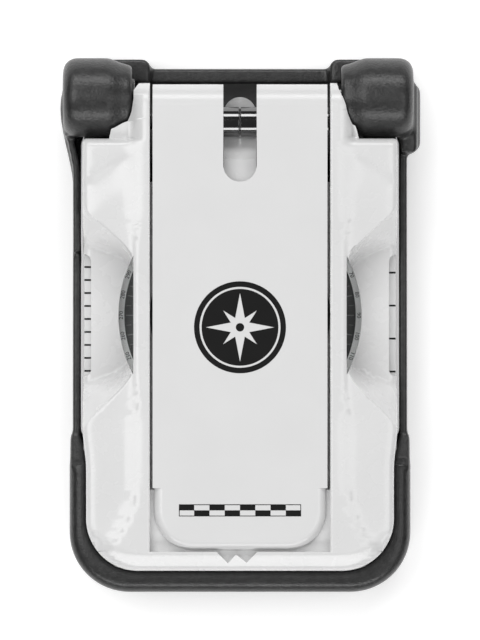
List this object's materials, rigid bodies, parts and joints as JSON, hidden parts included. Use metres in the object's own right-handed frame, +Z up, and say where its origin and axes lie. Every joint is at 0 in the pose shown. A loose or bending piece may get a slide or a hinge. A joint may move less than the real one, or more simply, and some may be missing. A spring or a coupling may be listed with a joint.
{
  "type": "geology compass",
  "caption": "Pocket geology compass with a rubber boot, a hinged lid with a sighting panel and mirror, a turning dial, a needle with lock, levels and edge rulers.",
  "frame": {"origin": "middle of the footprint on the surface that the closed instrument lies on", "axes": "+X across the case to the right, +Y along the case to the hinge end, +Z up through the lid"},
  "size_m": [0.0696, 0.1028, 0.0258],
  "materials": {
    "white_plastic": "smooth satin-gloss moulded",
    "white_panel": "smooth satin, printed",
    "black_plastic": "fine moulded texture",
    "dial_black": "matt, printed scale",
    "ruler_white": "printed ticks",
    "rubber": "grained moulded silicone",
    "black_chrome": "polished black chrome",
    "steel": "machined",
    "needle_steel": "one end painted red",
    "brass": "machined",
    "aluminium": "satin",
    "glass": "clear",
    "level_fluid": "clear with tinted fluid",
    "mirror": "polished"
  },
  "bodies": {
    "base": {"base_shell": "black_plastic", "bottom_plate": "black_plastic", "bottom_screw_1": "steel", "bottom_screw_2": "steel", "bottom_screw_3": "steel", "bottom_screw_4": "steel", "boot": "rubber", "compass_bowl": "aluminium", "pivot_post": "steel", "crystal": "glass", "crystal_ring": "dial_black", "round_level_housing": "brass", "round_level_glass": "level_fluid", "vial_holder": "brass", "vial": "level_fluid", "button_collar": "brass", "lock_spring": "steel", "lever_pin": "steel", "ruler_left": "ruler_white", "ruler_right": "ruler_white", "hinge_axle_left": "steel", "hinge_axle_right": "steel", "clinometer_drum_left": "dial_black", "clinometer_drum_right": "dial_black"},
    "lid": {"lid_shell": "white_plastic", "sight_pin_left": "black_chrome", "sight_pin_right": "black_chrome"},
    "panel": {"sighting_panel": "white_panel", "mirror_glass": "mirror"},
    "dial_ring": {"azimuth_ring": "dial_black"},
    "declination_drive": {"declination_pinion": "brass", "declination_screw": "brass"},
    "needle": {"needle": "needle_steel", "needle_cap": "brass", "needle_counterweight": "brass"},
    "button": {"lock_button": "steel"},
    "lever": {"lift_lever": "steel"}
  },
  "joints": [
    {"name": "lid_hinge", "type": "hinge", "parent": "base", "child": "lid", "pos_m": [0, 0.04375, 0.0182], "axis": [-1, 0, 0], "range_deg": [0, 135]},
    {"name": "panel_hinge", "type": "hinge", "parent": "lid", "child": "panel", "pos_m": [0, 0.039, 0.0206], "axis": [1, 0, 0], "range_deg": [-170, 0]},
    {"name": "dial_turn", "type": "hinge", "parent": "base", "child": "dial_ring", "pos_m": [0, 0.0019, 0.0099], "axis": [0, 0, 1], "continuous": true},
    {"name": "declination_turn", "type": "hinge", "parent": "base", "child": "declination_drive", "pos_m": [0, 0.0208, 0.005], "axis": [0, 0, 1], "continuous": true},
    {"name": "needle_turn", "type": "hinge", "parent": "base", "child": "needle", "pos_m": [0, 0.0019, 0.011], "axis": [0, 0, 1], "continuous": true},
    {"name": "button_press", "type": "slide", "parent": "base", "child": "button", "axis": [0, 0, 1], "range_m": [-0.001, 0], "stiffness_N_per_m": 400, "springref_m": 0.001},
    {"name": "lever_rock", "type": "hinge", "parent": "base", "child": "lever", "pos_m": [0, -0.0175, 0.0036], "axis": [1, 0, 0], "range_deg": [0, 3.75]}
  ],
  "couplings": [
    {"joint": "declination_turn", "follows": "dial_turn", "ratio": 8},
    {"joint": "lever_rock", "follows": "button_press", "rad_per_m": -64.5}
  ]
}
